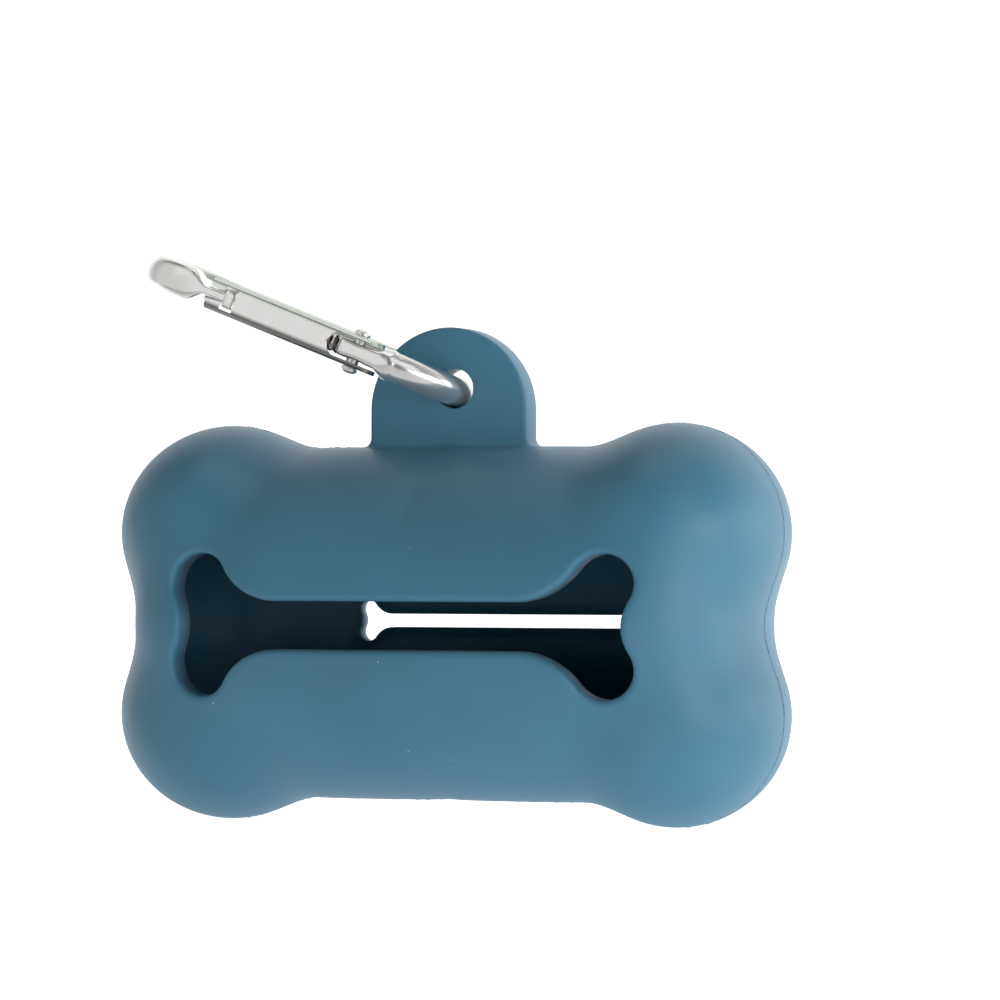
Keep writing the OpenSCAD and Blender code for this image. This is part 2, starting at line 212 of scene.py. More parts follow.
walls = math(nodes, links, "MAXIMUM", card((0.15, 0.88, -0.45), -0.50, 0.40, 0.88), DARKEST)
lens_card = card((-0.272, -0.949, 0.156), 0.88, 0.96, 0.86)
side_card = card((-0.84, -0.50, 0.20), 0.45, 0.80, 0.72)
cards = math(nodes, links, "MAXIMUM", lens_card, side_card)
seen, mirrored = ray_kinds(nodes, links)
in_mirror = math(nodes, links, "MULTIPLY", mirrored,
                 math(nodes, links, "MAXIMUM", walls, cards))
links.new(math(nodes, links, "MAXIMUM", seen, in_mirror), tent.inputs["Strength"])

# Soft boxes round the case, strongest on the right and above
LAMP_DISTANCE = 0.68


def soft_box(name, turn, rise, side, power):
    """A square lamp that faces the case's middle, turned to the right of the front and
    raised by those degrees."""
    turn, rise = np.radians(turn), np.radians(rise)
    way = Vector((np.sin(turn) * np.cos(rise), -np.cos(turn) * np.cos(rise), np.sin(rise)))
    lamp_data = bpy.data.lights.new(name, "AREA")
    lamp_data.shape = "SQUARE"
    lamp_data.size = side
    lamp_data.energy = power
    lamp = bpy.data.objects.new(name, lamp_data)
    lamp.location = Vector(CASE_MIDDLE) * MM + way * LAMP_DISTANCE
    lamp.rotation_euler = way.to_track_quat("Z", "Y").to_euler()
    scene.collection.objects.link(lamp)


soft_box("top_lamp", 0, 88, 0.45, 0.75)
soft_box("right_rear_lamp", 112, 10, 0.24, 0.50)
soft_box("right_lamp", 72, 6, 0.30, 1.20)
soft_box("low_right_lamp", 50, 10, 0.24, 0.40)
soft_box("high_right_lamp", 50, 42, 0.40, 0.48)
soft_box("high_left_lamp", -45, 42, 0.40, 0.10)
soft_box("front_lamp", -5, 42, 0.40, 0.06)

# The case: one hollow moulding in soft silicone, pressed in a two-part steel mould that
# parts in the middle of its depth. The front slot stretches to take a roll of bags, the
# narrow back slot grips the next bag, and the tab on top is moulded on in one piece.
CASE_LENGTH = 80.0
BARREL_RADIUS = 20.5
KNOB_RADIUS = 12.6
KNOB_SPREAD = 21.0
KNOB_DEPTH = 33.4
END_INSET = 2.4
END_DOME_RADIUS = 28.4
WALL = 3.0
RIM_BLEND = 8.0
WAIST_BLEND = 2.4
KNOB_BLEND = 1.0
LIP_RADIUS = 0.9
FAR = CASE_LENGTH
KNOB_X = CASE_LENGTH / 2 - KNOB_RADIUS
KNOB_Z = KNOB_SPREAD / 2
BARREL_END = CASE_LENGTH / 2 - END_INSET
FAN_X = KNOB_X - KNOB_RADIUS * 0.6


def bone_slot(length, height, neck, end_r, fillet_r, notch_r):
    """Where a slot's round ends are, and its radii, from its overall sizes."""
    return (length / 2 - end_r, height / 2 - end_r, end_r, neck / 2, fillet_r, notch_r)


FRONT_SLOT = bone_slot(
    length=55.4, height=16.3, neck=5.5, end_r=3.5, fillet_r=8.0, notch_r=6.0)
REAR_SLOT = bone_slot(
    length=37.0, height=5.0, neck=1.6, end_r=1.2, fillet_r=2.4, notch_r=2.0)
NECK_STEPS, FILLET_STEPS, END_STEPS, NOTCH_STEPS = 26, 10, 44, 8
OUTER_ROWS, LIP_ROWS, INNER_ROWS = 40, 6, 18


def soft_min(a, b, width):
    """The smaller of a and b, less a parabola a quarter of the width high where they meet."""
    near = np.maximum(width - np.abs(a - b), 0) / width
    return np.minimum(a, b) - near * near * width / 4


def knob(x, y, z, row_z):
    """Distance to an ellipsoid: the stretched length less one, times the radius."""
    return (np.sqrt(((x - KNOB_X) / KNOB_RADIUS) ** 2 + (y / (KNOB_DEPTH / 2)) ** 2
                    + ((z - row_z) / KNOB_RADIUS) ** 2) - 1) * KNOB_RADIUS


def barrel(x, y, z):
    """The larger of the distances to a round bar along x and to its domed end, blended."""
    side = np.hypot(y, z) - BARREL_RADIUS
    dome = np.sqrt((x - BARREL_END + END_DOME_RADIUS) ** 2 + y * y + z * z) - END_DOME_RADIUS
    return -soft_min(-side, -dome, RIM_BLEND)


def skin(x, y, z):
    """Distance to the case's skin: barrel and four knobs, each meeting with a soft minimum."""
    ax, az = np.abs(x), np.abs(z)
    knobs = soft_min(knob(ax, y, az, KNOB_Z), knob(ax, y, az, -KNOB_Z), KNOB_BLEND)
    return soft_min(barrel(ax, y, az), knobs, WAIST_BLEND)


def halve(inside, shape):
    """The largest length at which inside(length) still holds, by halving a range 34 times."""
    low, high = np.zeros(shape), np.full(shape, FAR)
    for _ in range(34):
        middle = (low + high) / 2
        within = inside(middle)
        low, high = np.where(within, middle, low), np.where(within, high, middle)
    return (low + high) / 2


def depth(x, z, level):
    """How far the skin lies before or behind the point x, z."""
    return halve(lambda t: skin(x, t, z) < level, np.shape(x))


def arc(x, z, radius, start, end, count):
    """Points on a circle from one angle up to, and without, another."""
    angle = start + (end - start) * np.arange(count) / count
    return np.stack([x + radius * np.cos(angle), z + radius * np.sin(angle)], axis=1)


def bone_quarter(slot, grow):
    """A quarter of a bone-shaped outline: straight neck, fillet arc, round end, notch arc,
    each meeting the next where the line through both centres cuts it, grown all round."""
    cx, cz, r, h, rf, rn = slot
    r, h, rf, rn = r + grow, h + grow, rf - grow, rn - grow
    fx = cx - np.sqrt((rf + r) ** 2 - (h + rf - cz) ** 2)
    nx = cx + np.sqrt((rn + r) ** 2 - cz ** 2)
    to_end = np.arctan2(cz - h - rf, cx - fx)
    to_notch = np.arctan2(-cz, nx - cx)
    neck = np.stack([fx * np.arange(NECK_STEPS) / NECK_STEPS, np.full(NECK_STEPS, h)], axis=1)
    last = np.array([[nx - rn, 0.0]])
    return np.concatenate([
        neck,
        arc(fx, h + rf, rf, -np.pi / 2, to_end, FILLET_STEPS),
        arc(cx, cz, r, to_end + np.pi, to_notch, END_STEPS),
        arc(nx, 0, rn, to_notch + np.pi, np.pi, NOTCH_STEPS),
        last,
    ])


def seam_quarter(level):
    """A quarter of the case's outline where the mould parts: straight up from the barrel's
    axis, then fanned round the end, as many points as a slot's quarter has."""
    straight, fan = NECK_STEPS + FILLET_STEPS, END_STEPS + NOTCH_STEPS
    x = FAN_X * np.arange(straight) / straight
    angle = np.pi / 2 * (1 - np.arange(fan + 1) / fan)
    start = np.concatenate([x, np.full(fan + 1, FAN_X)])
    along_x = np.concatenate([np.zeros(straight), np.cos(angle)])
    along_z = np.concatenate([np.ones(straight), np.sin(angle)])
    run = halve(lambda t: skin(start + t * along_x, 0, t * along_z) < level, start.shape)
    return np.stack([start + run * along_x, run * along_z], axis=1)


def all_round(quarter):
    """The whole closed outline, from its upper right quarter and three mirrored ones."""
    head, back = quarter[:-1], quarter[:0:-1]
    return np.concatenate([
        head, back * [1, -1], head * [-1, -1], back * [-1, 1],
    ])


def skin_rows(edge, seam, side, level, shares):
    """Rows of points on the skin: at each share of the way from a slot's edge to the seam
    in the upright plane, and as deep as the skin lies there."""
    flat = edge + (seam - edge) * shares[:, None, None]
    y = side * depth(flat[..., 0], flat[..., 1], level)
    y[shares == 1] = 0
    return np.stack([flat[..., 0], y, flat[..., 1]], axis=-1)


def lip_rows(slot, side, angles):
    """A slot's rounded outer edge: a quarter circle in the skin's depth, from its wall."""
    flat = np.stack([
        all_round(bone_quarter(slot, LIP_RADIUS * (1 - np.sin(a)))) for a in angles])
    y = depth(flat[..., 0], flat[..., 1], 0) - LIP_RADIUS * (1 - np.cos(angles))[:, None]
    return np.stack([flat[..., 0], side * y, flat[..., 1]], axis=-1)


def net_quads(rows, columns):
    """Quads of a net that closes on itself both ways."""
    r, c = np.meshgrid(np.arange(rows), np.arange(columns), indexing="ij")
    r2, c2 = (r + 1) % rows, (c + 1) % columns
    return np.stack([
        r * columns + c, r * columns + c2, r2 * columns + c2, r2 * columns + c,
    ], axis=-1).reshape(-1, 4)


def case_net():
    """The shell as one closed net: over the front from the slot to the seam, over the back
    to the other slot, and home along the inside."""
    quarter_turn = np.pi / 2
    seam, inner_seam = all_round(seam_quarter(0)), all_round(seam_quarter(-WALL))
    front_edge, rear_edge = (all_round(bone_quarter(s, LIP_RADIUS))
                             for s in (FRONT_SLOT, REAR_SLOT))
    front_hole, rear_hole = (all_round(bone_quarter(s, 0)) for s in (FRONT_SLOT, REAR_SLOT))
    lip = quarter_turn * np.arange(LIP_ROWS) / LIP_ROWS
    outer = np.sin(quarter_turn * np.arange(OUTER_ROWS + 1) / OUTER_ROWS)
    inner = np.sin(quarter_turn * np.arange(INNER_ROWS + 1) / INNER_ROWS)
    rows = np.concatenate([
        lip_rows(FRONT_SLOT, -1, quarter_turn - lip),
        skin_rows(front_edge, seam, -1, 0, outer),
        skin_rows(rear_edge, seam, 1, 0, outer[-2::-1]),
        lip_rows(REAR_SLOT, 1, lip + quarter_turn / LIP_ROWS),
        skin_rows(rear_hole, inner_seam, 1, -WALL, inner),
        skin_rows(front_hole, inner_seam, -1, -WALL, inner[-2::-1]),
    ])
    return rows.reshape(-1, 3) + CASE_MIDDLE, net_quads(*rows.shape[:2])


# The tab is moulded with the case, and a fillet joins it to the barrel. The clip's wire
# goes through its eye.
TAB_WIDTH = 19.2
TAB_THICKNESS = 4.0
TAB_HEIGHT = 13.8
TAB_EDGE = 0.45
EYE_RADIUS = 2.3
EYE_SIDE = 0.8
EYE_DROP = 7.1
EYE_EDGE = 0.15
ROOT_RADIUS = 1.1
ROOT_TAIL = 0.3
TAIL_SUNK = 0.03
ROOT_SUNK = 1.4
SIDE_STEPS, ARCH_STEPS, FOOT_STEPS = 10, 64, 44
EDGE_ROWS, FACE_ROWS, ROOT_ROWS = 5, 14, 8


def tab_outline(foot_z):
    """The tab's face from its right foot: up the side, over the arch, down, and along the
    foot, with the way that its edge faces. The face ends an edge's radius inside."""
    half, top = TAB_WIDTH / 2, BARREL_RADIUS + TAB_HEIGHT
    up = np.linspace(foot_z, top - half, SIDE_STEPS, endpoint=False)
    over = np.linspace(0, np.pi, ARCH_STEPS, endpoint=False)
    down = np.linspace(top - half, foot_z, SIDE_STEPS + 1)
    along = np.linspace(-1, 1, FOOT_STEPS + 2)[1:-1] * (half - TAB_EDGE)
    facing = np.concatenate([
        np.tile([1.0, 0.0], (len(up), 1)), np.stack([np.cos(over), np.sin(over)], axis=1),
        np.tile([-1.0, 0.0], (len(down), 1)), np.zeros((len(along), 2)),
    ])
    edge = np.concatenate([
        np.stack([np.full(len(up), half), up], axis=1),
        np.stack([half * np.cos(over), top - half + half * np.sin(over)], axis=1),
        np.stack([np.full(len(down), -half), down], axis=1),
        np.stack([along, np.full(len(along), foot_z)], axis=1),
    ])
    return edge - facing * TAB_EDGE, facing


def ball_height(y):
    """Height at which a ball of the root's radius rests on the barrel at that depth."""
    return np.sqrt((BARREL_RADIUS + ROOT_RADIUS) ** 2 - y ** 2)


def tab_net():
    """The tab as a net round its eye: from the middle of the eye's wall over the front face
    and the edge to the middle of the edge, and back over the rear face. It is open at the
    foot, and the rim of that opening comes with the way that each point faces."""
    half_t = TAB_THICKNESS / 2
    face, facing = tab_outline(ball_height(half_t + ROOT_RADIUS))
    eye = np.array([EYE_SIDE, BARREL_RADIUS + TAB_HEIGHT - EYE_DROP])
    run = np.linalg.norm(face - eye, axis=1)[:, None]
    ray = (face - eye) / run
    turn = np.linspace(0, np.pi / 2, EDGE_ROWS)[:, None, None]
    share = np.sin(np.pi / 2 * np.arange(1, FACE_ROWS + 1) / FACE_ROWS)[:, None, None]
    start = EYE_RADIUS + EYE_EDGE
    flat = np.concatenate([
        (eye + ray * EYE_RADIUS)[None],
        eye + ray * (EYE_RADIUS + EYE_EDGE * (1 - np.cos(turn))),
        eye + ray * (start + (run - start) * share),
        face + facing * TAB_EDGE * np.sin(turn[1:]),
        (face + facing * TAB_EDGE)[None],
    ])
    y = np.concatenate([
        [0.0], half_t - EYE_EDGE * (1 - np.sin(turn.ravel())), np.full(FACE_ROWS, half_t),
        half_t - TAB_EDGE * (1 - np.cos(turn.ravel()[1:])), [0.0],
    ])
    front = np.stack([
        flat[..., 0], np.broadcast_to(-y[:, None], flat.shape[:2]), flat[..., 1]], axis=-1)
    net = np.concatenate([front, front[-2:0:-1] * [1, -1, 1]])
    face_row = EDGE_ROWS + FACE_ROWS
    back_row = face_row + 2 * EDGE_ROWS
    right, left = 0, 2 * SIDE_STEPS + ARCH_STEPS
    rim = np.arange(face_row + 1, back_row)
    rim_turn = np.concatenate([turn[1:], [[[np.pi / 2]]], turn[:0:-1]]).ravel()
    rim_way = np.stack([
        np.sin(rim_turn), np.cos(rim_turn) * np.sign(rim - (face_row + EDGE_ROWS))], axis=1)
    for corner in (right, left):
        net[rim, corner, 2] = ball_height(
            net[rim, corner, 1] + ROOT_RADIUS * rim_way[:, 1])
    columns = net.shape[1]
    quads = net_quads(len(net), columns)
    row, column = np.divmod(np.arange(len(quads)), columns)
    open_foot = (row >= face_row) & (row < back_row) & (column >= left)
    foot = np.append(np.arange(left, columns), right)
    loop = np.concatenate([
        net[face_row, foot], net[rim, right], net[back_row, foot[::-1]], net[rim[::-1], left],
    ])
    way = np.concatenate([
        np.tile([0.0, -1.0], (len(foot), 1)), rim_way,
        np.tile([0.0, 1.0], (len(foot), 1)), (rim_way * [-1, 1])[::-1],
    ])
    return net.reshape(-1, 3), quads[~open_foot], loop, way


def foot_skirt(loop, way):
    """The tab's root: a fillet as a ball rolled between the tab and the barrel leaves it,
    turned evenly from one touching point to the other, then a tail under the skin."""
    ball = loop + np.append(way, np.zeros((len(way), 1)), axis=1) * ROOT_RADIUS
    ball[:, 2] = ball_height(ball[:, 1])
    to_wall = np.stack([-way[:, 0], -way[:, 1], np.zeros(len(way))], axis=1)
    to_barrel = -ball * [0, 1, 1] / (BARREL_RADIUS + ROOT_RADIUS)
    turn = np.arccos(np.sum(to_wall * to_barrel, axis=1))[:, None]
    share = np.linspace(0, 1, ROOT_ROWS)[:, None, None]
    fillet = ball + ROOT_RADIUS * (
        np.sin((1 - share) * turn) * to_wall + np.sin(share * turn) * to_barrel) / np.sin(turn)
    tail = fillet[-1] - to_wall * ROOT_TAIL
    radius = np.hypot(tail[:, 1], tail[:, 2])[:, None]
    across = np.array([0, 1, 1])
    sunk = [tail * (1 - across) + tail * across / radius * (BARREL_RADIUS - depth_below)
            for depth_below in (TAIL_SUNK, ROOT_SUNK)]
    rows = np.concatenate([fillet, sunk])
    count = rows.shape[1]
    quads = net_quads(len(rows), count)[:(len(rows) - 1) * count]
    return rows.reshape(-1, 3), quads, (len(rows) - 1) * count + np.arange(count)


MERGE = 1e-7


def new_piece(name, points, faces, body):
    """A smooth mesh object from points in millimetres, riding on a body. Points that
    coincide are merged, loose ones go, and the faces are turned outwards."""
    mesh = bpy.data.meshes.new(name)
    mesh.from_pydata((points * MM).tolist(), [], faces)
    made = bmesh.new()
    made.from_mesh(mesh)
    bmesh.ops.remove_doubles(made, verts=made.verts, dist=MERGE)
    loose = [v for v in made.verts if not v.link_faces]
    bmesh.ops.delete(made, geom=loose, context="VERTS")
    bmesh.ops.recalc_face_normals(made, faces=made.faces)
    made.to_mesh(mesh)
    made.free()
    mesh.shade_smooth()
    piece = bpy.data.objects.new(name, mesh)
    scene.collection.objects.link(piece)
    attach(piece, body)
    return piece


def joined(*parts):
    """Several sets of points and faces as one, each set's faces counted on from the last."""
    points, faces, count = [], [], 0
    for part_points, part_faces in parts:
        points.append(part_points)
        faces += [[count + i for i in face] for face in part_faces]
        count += len(part_points)
    return np.concatenate(points), faces


FLASH_POINTS, FLASH_SIDES = 2400, 8
FLASH_LEAST, FLASH_MORE = 0.01, 0.055
FLASH_STAND = 0.06
FLASH_HALF_WIDTH = 0.07


def mould_flash():
    """The thin web of silicone that the mould's halves leave where they part: a small ring
    of ellipses carried round the seam. Its outer side stands evenly off the skin, and its
    height, which smoothed chance varies, is counted inwards from there, so only its highest
    places reach the skin."""
    seam = all_round(seam_quarter(0))
    closed = np.concatenate([seam, seam[:1]])
    run = np.concatenate([[0], np.cumsum(np.linalg.norm(np.diff(closed, axis=0), axis=1))])
    even = np.linspace(0, run[-1], FLASH_POINTS, endpoint=False)
    line = np.stack([np.interp(even, run, closed[:, i]) for i in (0, 1)], axis=1)
    tangent = np.roll(line, -3, axis=0) - np.roll(line, 3, axis=0)
    out = np.stack([-tangent[:, 1], tangent[:, 0]], axis=1)
    out /= np.linalg.norm(out, axis=1)[:, None]
    chance = np.random.default_rng(7).normal(size=FLASH_POINTS)
    window = np.hanning(9)
    wavy = np.convolve(np.tile(chance, 3), window / window.sum(), "same")
    wavy = wavy[FLASH_POINTS:2 * FLASH_POINTS]
    height = FLASH_LEAST + FLASH_MORE * np.clip(wavy / wavy.std() - 0.4, 0, 1.7)
    angle = 2 * np.pi * np.arange(FLASH_SIDES) / FLASH_SIDES
    off = FLASH_STAND - height[:, None] * (np.cos(angle) * 0.5 + 0.5)
    flat = line[:, None] + out[:, None] * off[..., None]
    y = np.broadcast_to(FLASH_HALF_WIDTH * np.sin(angle), off.shape)
    return np.stack([flat[..., 0], y, flat[..., 1]], axis=-1)


shell_points, shell_quads = case_net()
tab_points, tab_quads, foot_loop, foot_way = tab_net()
skirt_points, skirt_quads, skirt_end = foot_skirt(foot_loop, foot_way)
flash = mould_flash()
case_points, case_faces = joined(
    (shell_points, shell_quads.tolist()),
    (flash.reshape(-1, 3) + CASE_MIDDLE, net_quads(*flash.shape[:2]).tolist()),
    (tab_points + CASE_MIDDLE, tab_quads.tolist()),
    (skirt_points + CASE_MIDDLE, skirt_quads.tolist() + [skirt_end.tolist()]),
)
case = new_piece("silicone_case", case_points, case_faces, "case")
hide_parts("case")


CELLS_WITHOUT_DUST = 0.975
DUST_COLOUR = (0.45, 0.52, 0.55, 1)


def silicone_finish(name, colour, roughness):
    """Soft silicone from a spark-eroded mould: even colour with faint clouds where it was
    mixed, a fine matt grain, slight waves in the skin, and a few specks of dust."""
    material, nodes, links, shader = new_material(name)
    shader.inputs["IOR"].default_value = 1.41
    shader.inputs["Specular IOR Level"].default_value = 0.55
    shader.inputs["Sheen Weight"].default_value = 0.05
    shader.inputs["Sheen Roughness"].default_value = 0.5
    place = nodes.new("ShaderNodeTexCoord").outputs["Object"]

    def noise(scale, detail):
        made = nodes.new("ShaderNodeTexNoise")
        links.new(place, made.inputs["Vector"])
        made.inputs["Scale"].default_value = scale
        made.inputs["Detail"].default_value = detail
        return made.outputs["Fac"]

    clouds, grain, waves = noise(55.0, 3.0), noise(5200.0, 2.0), noise(230.0, 2.0)
    shade = nodes.new("ShaderNodeValToRGB")
    links.new(math(nodes, links, "MULTIPLY_ADD", grain, 0.12, clouds), shade.inputs["Fac"])
    low, high = shade.color_ramp.elements
    low.position, high.position = 0.38, 0.72
    low.color = (*(np.array(colour) * 0.94), 1)
    high.color = (*(np.array(colour) * 1.06), 1)

    specks = nodes.new("ShaderNodeTexVoronoi")
    links.new(place, specks.inputs["Vector"])
    specks.inputs["Scale"].default_value = 620.0
    pick = nodes.new("ShaderNodeSeparateColor")
    links.new(specks.outputs["Color"], pick.inputs[0])
    few = math(nodes, links, "GREATER_THAN", pick.outputs["Red"], CELLS_WITHOUT_DUST)
    small = ramp(nodes, links, specks.outputs["Distance"], 0.05, 0.09, 0.6, 0.0)
    dust = math(nodes, links, "MULTIPLY", few, small)
    dusty = nodes.new("ShaderNodeMix")
    dusty.data_type = "RGBA"
    links.new(dust, dusty.inputs["Factor"])
    links.new(shade.outputs["Color"], dusty.inputs["A"])
    dusty.inputs["B"].default_value = DUST_COLOUR
    links.new(dusty.outputs["Result"], shader.inputs["Base Color"])

    matt = ramp(nodes, links, math(nodes, links, "MULTIPLY_ADD", grain, 0.3, clouds),
                0.0, 1.0, roughness - 0.08, roughness + 0.06)
    links.new(matt, shader.inputs["Roughness"])
    relief = nodes.new("ShaderNodeBump")
    relief.inputs["Strength"].default_value = 0.35
    relief.inputs["Distance"].default_value = 0.00006
    links.new(math(nodes, links, "MULTIPLY_ADD", grain, 0.22, waves), relief.inputs["Height"])
    links.new(relief.outputs["Normal"], shader.inputs["Normal"])
    return material


case.data.materials.append(silicone_finish("teal_silicone", (0.051, 0.184, 0.282), 0.41))

# The clip's wire: round steel wire bent to a long loop and nickel plated. Its nose is pressed
# to a flat leaf that runs out in a T-shaped catch, and its other end to a tongue between the
# gate's ears, with an upset collar beside it.
# The line that the clip and the case swing about lies this far below the tab's top
SWING_DROP = 7.2
SWING_PLACE = CASE_MIDDLE + [EYE_SIDE, 0, BARREL_RADIUS + TAB_HEIGHT - SWING_DROP]
WIRE_SIDE, WIRE_DROP = 0.25, 0.35
CLIP_LEAN, CLIP_ROLL = np.radians(21.4), np.radians(5.6)
WIRE_RADIUS = 1.6
BEND_RADIUS = 8.0
NOSE_X = 31.65
STUB_X = 30.15
PIVOT_X = 10.6
TONGUE_X = 12.5
CATCH_X = 26.45
CATCH_HEAD = 1.2
NECK_HALF_WIDTH, LEAF_FLARE = 0.5, 1.45
TONGUE_ROUND = 0.6
COLLAR_TURN, COLLAR_SPAN, COLLAR_RISE = np.radians(257.4), np.radians(3.4), 0.12
EYE_SWELL = 0.1
BACK_BOW = 0.5
RING_POINTS = 40
clip_origin = SWING_PLACE - [WIRE_SIDE, 0, WIRE_DROP]
clip_long = np.array([-np.cos(CLIP_LEAN), 0, np.sin(CLIP_LEAN)])
clip_deep = np.array([
    -np.sin(CLIP_ROLL) * np.sin(CLIP_LEAN), np.cos(CLIP_ROLL),
    -np.sin(CLIP_ROLL) * np.cos(CLIP_LEAN),
])
clip_axes = np.stack([clip_long, clip_deep, np.cross(clip_long, clip_deep)])


def in_clip(points):
    """Points of the clip's own plane, x from the eye to the nose and y to the back, put
    where the clip hangs: the origin plus each number times its own direction."""
    return clip_origin + np.asarray(points) @ clip_axes


def eased(start, end, at):
    """From 0 to 1 as at goes from start to end, three squares less two cubes."""
    share = np.clip((at - start) / (end - start), 0, 1)
    return share * share * (3 - 2 * share)


def wire_path():
    """Stations along the wire from the catch's head to the tongue's end: x, y, the way out
    of the loop, half the width across the plane, half the thickness in it, squareness, and
    how far the back of the wire is bowed up out of the plane, eased from front to back."""
    catch_y, reach = -9.05, 2.6
    rows = []

    def add(x, y, out_x, out_y, wide, thick, square):
        bow = -BACK_BOW * eased(-3.0, 7.5, np.asarray(y)) * eased(1.0, 9.0, np.asarray(x))
        rows.append(np.stack(np.broadcast_arrays(
            x, y, out_x, out_y, wide, thick, square, bow), axis=1))

    # The catch's head and neck
    head = CATCH_X + np.array([0.0, 0.04, 0.14, 0.6, 1.06, 1.16, CATCH_HEAD])
    shrink = np.array([0.14, 0.04, 0.0, 0.0, 0.0, 0.04, 0.14])
    add(head, catch_y, 0, -1, 1.05 - shrink, 0.6 - shrink, 6.0)
    neck = np.linspace(CATCH_X + CATCH_HEAD, STUB_X, 8)
    flare = 0.1 * np.exp(-(neck - neck[0]) / 0.12)
    add(neck, catch_y, 0, -1, NECK_HALF_WIDTH + flare, 0.58, 5.0)
    # The pressed leaf, and on round the nose
    leaf = STUB_X + np.linspace(0.02, NOSE_X - STUB_X, 14)
    grown = eased(STUB_X, STUB_X + reach, leaf)
    thick = 0.6 + 0.95 * eased(STUB_X, STUB_X + 1.3, leaf)
    add(leaf, -9.6 + thick, 0, -1, NECK_HALF_WIDTH + LEAF_FLARE * grown, thick, 5.0)
    turn = np.linspace(-np.pi / 2, np.pi / 2, 90)[1:]
    along = NOSE_X - STUB_X + (turn + np.pi / 2) * BEND_RADIUS
    grown = eased(0, reach, along)
    round_again = eased(np.pi * 0.12, np.pi * 0.5, turn)
    square = 4.2 - 2.1 * eased(-np.pi * 0.46, -np.pi * 0.12, turn) - 0.1 * round_again
    add(NOSE_X + BEND_RADIUS * np.cos(turn), BEND_RADIUS * np.sin(turn) - 0.05 * (1 - grown),
        np.cos(turn), np.sin(turn),
        NECK_HALF_WIDTH + LEAF_FLARE * grown - 0.35 * round_again,
        1.55 + 0.05 * round_again, square)
    # The back rod, and the eye end with its collar
    spine = np.linspace(NOSE_X, BEND_RADIUS, 40)[1:]
    add(spine, BEND_RADIUS, 0, 1, WIRE_RADIUS, WIRE_RADIUS, 2.0)
    turn = np.linspace(np.pi / 2, np.pi * 1.5, 150)[1:]
    pressed = np.radians(265.0)
    collar = np.exp(-((turn - COLLAR_TURN) / COLLAR_SPAN) ** 4)
    flat = eased(pressed - 0.09, pressed + 0.06, turn)
    full = WIRE_RADIUS + EYE_SWELL * eased(2.3, 2.9, turn) * (1 - flat)
    add(BEND_RADIUS * (1 + np.cos(turn)), BEND_RADIUS * np.sin(turn),
        np.cos(turn), np.sin(turn), full + COLLAR_RISE * collar - 0.52 * flat,
        full + COLLAR_RISE * collar - 0.01 * flat, 2.0 + 3.0 * flat)
    # The tongue, to its rounded end
    tongue = np.concatenate([
        np.linspace(BEND_RADIUS, TONGUE_X - TONGUE_ROUND, 14)[1:],
        TONGUE_X - TONGUE_ROUND + TONGUE_ROUND * np.sin(np.linspace(0, np.pi / 2, 9)[1:]),
    ])
    end = np.clip((tongue - TONGUE_X + TONGUE_ROUND) / TONGUE_ROUND, 0, 1)
    waist = 0.14 * np.exp(-((tongue - 10.0) / 0.9) ** 2)
    add(tongue, -BEND_RADIUS, 0, -1, 1.08 - 0.1 * end ** 4 - waist,
        WIRE_RADIUS - TONGUE_ROUND * (1 - np.sqrt(1 - end ** 2)), 5.0)
    return np.concatenate(rows)


def swept(stations, count):
    """Rings carried along the stations. A ring is a superellipse: the cosine and sine of its
    angle, each raised to two over the squareness, times half the thickness and the width.
    The bow moves the whole ring out of the clip's plane."""
    x, y, out_x, out_y, wide, thick, square, bow = stations.T[:, :, None]
    angle = 2 * np.pi * np.arange(count) / count
    cos, sin = np.cos(angle), np.sin(angle)
    out = np.sign(cos) * np.abs(cos) ** (2 / square) * thick
    across = np.sign(sin) * np.abs(sin) ** (2 / square) * wide
    return np.stack([x + out_x * out, y + out_y * out, across + bow], axis=-1)


def tube(rings):
    """The quads between rings, and a flat face over each end."""
    count, around = rings.shape[:2]
    quads = net_quads(count, around)[:(count - 1) * around].tolist()
    ends = [list(range(around)), list(range((count - 1) * around, count * around))]
    return rings.reshape(-1, 3), quads + ends


points, faces = tube(swept(wire_path(), RING_POINTS))
wire = new_piece("clip_wire", in_clip(points), faces, "clip")
wire.data.set_sharp_from_angle(angle=np.radians(38))
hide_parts("clip_frame")


# A greenish band along the clip's upper edge.
GREEN_BAND_FROM, GREEN_BAND_FULL, GREEN_BAND_COLOUR = 0.0011, 0.0015, (0.47, 0.57, 0.46)
# Painted shade: a dark band along the clip's lower edge that stands in for the shade and dark
# reflection there.
PAINTED_SHADE_FROM, PAINTED_SHADE_FULL, PAINTED_SHADE_COLOUR = -0.0009, -0.0013, (0.15, 0.145, 0.14)


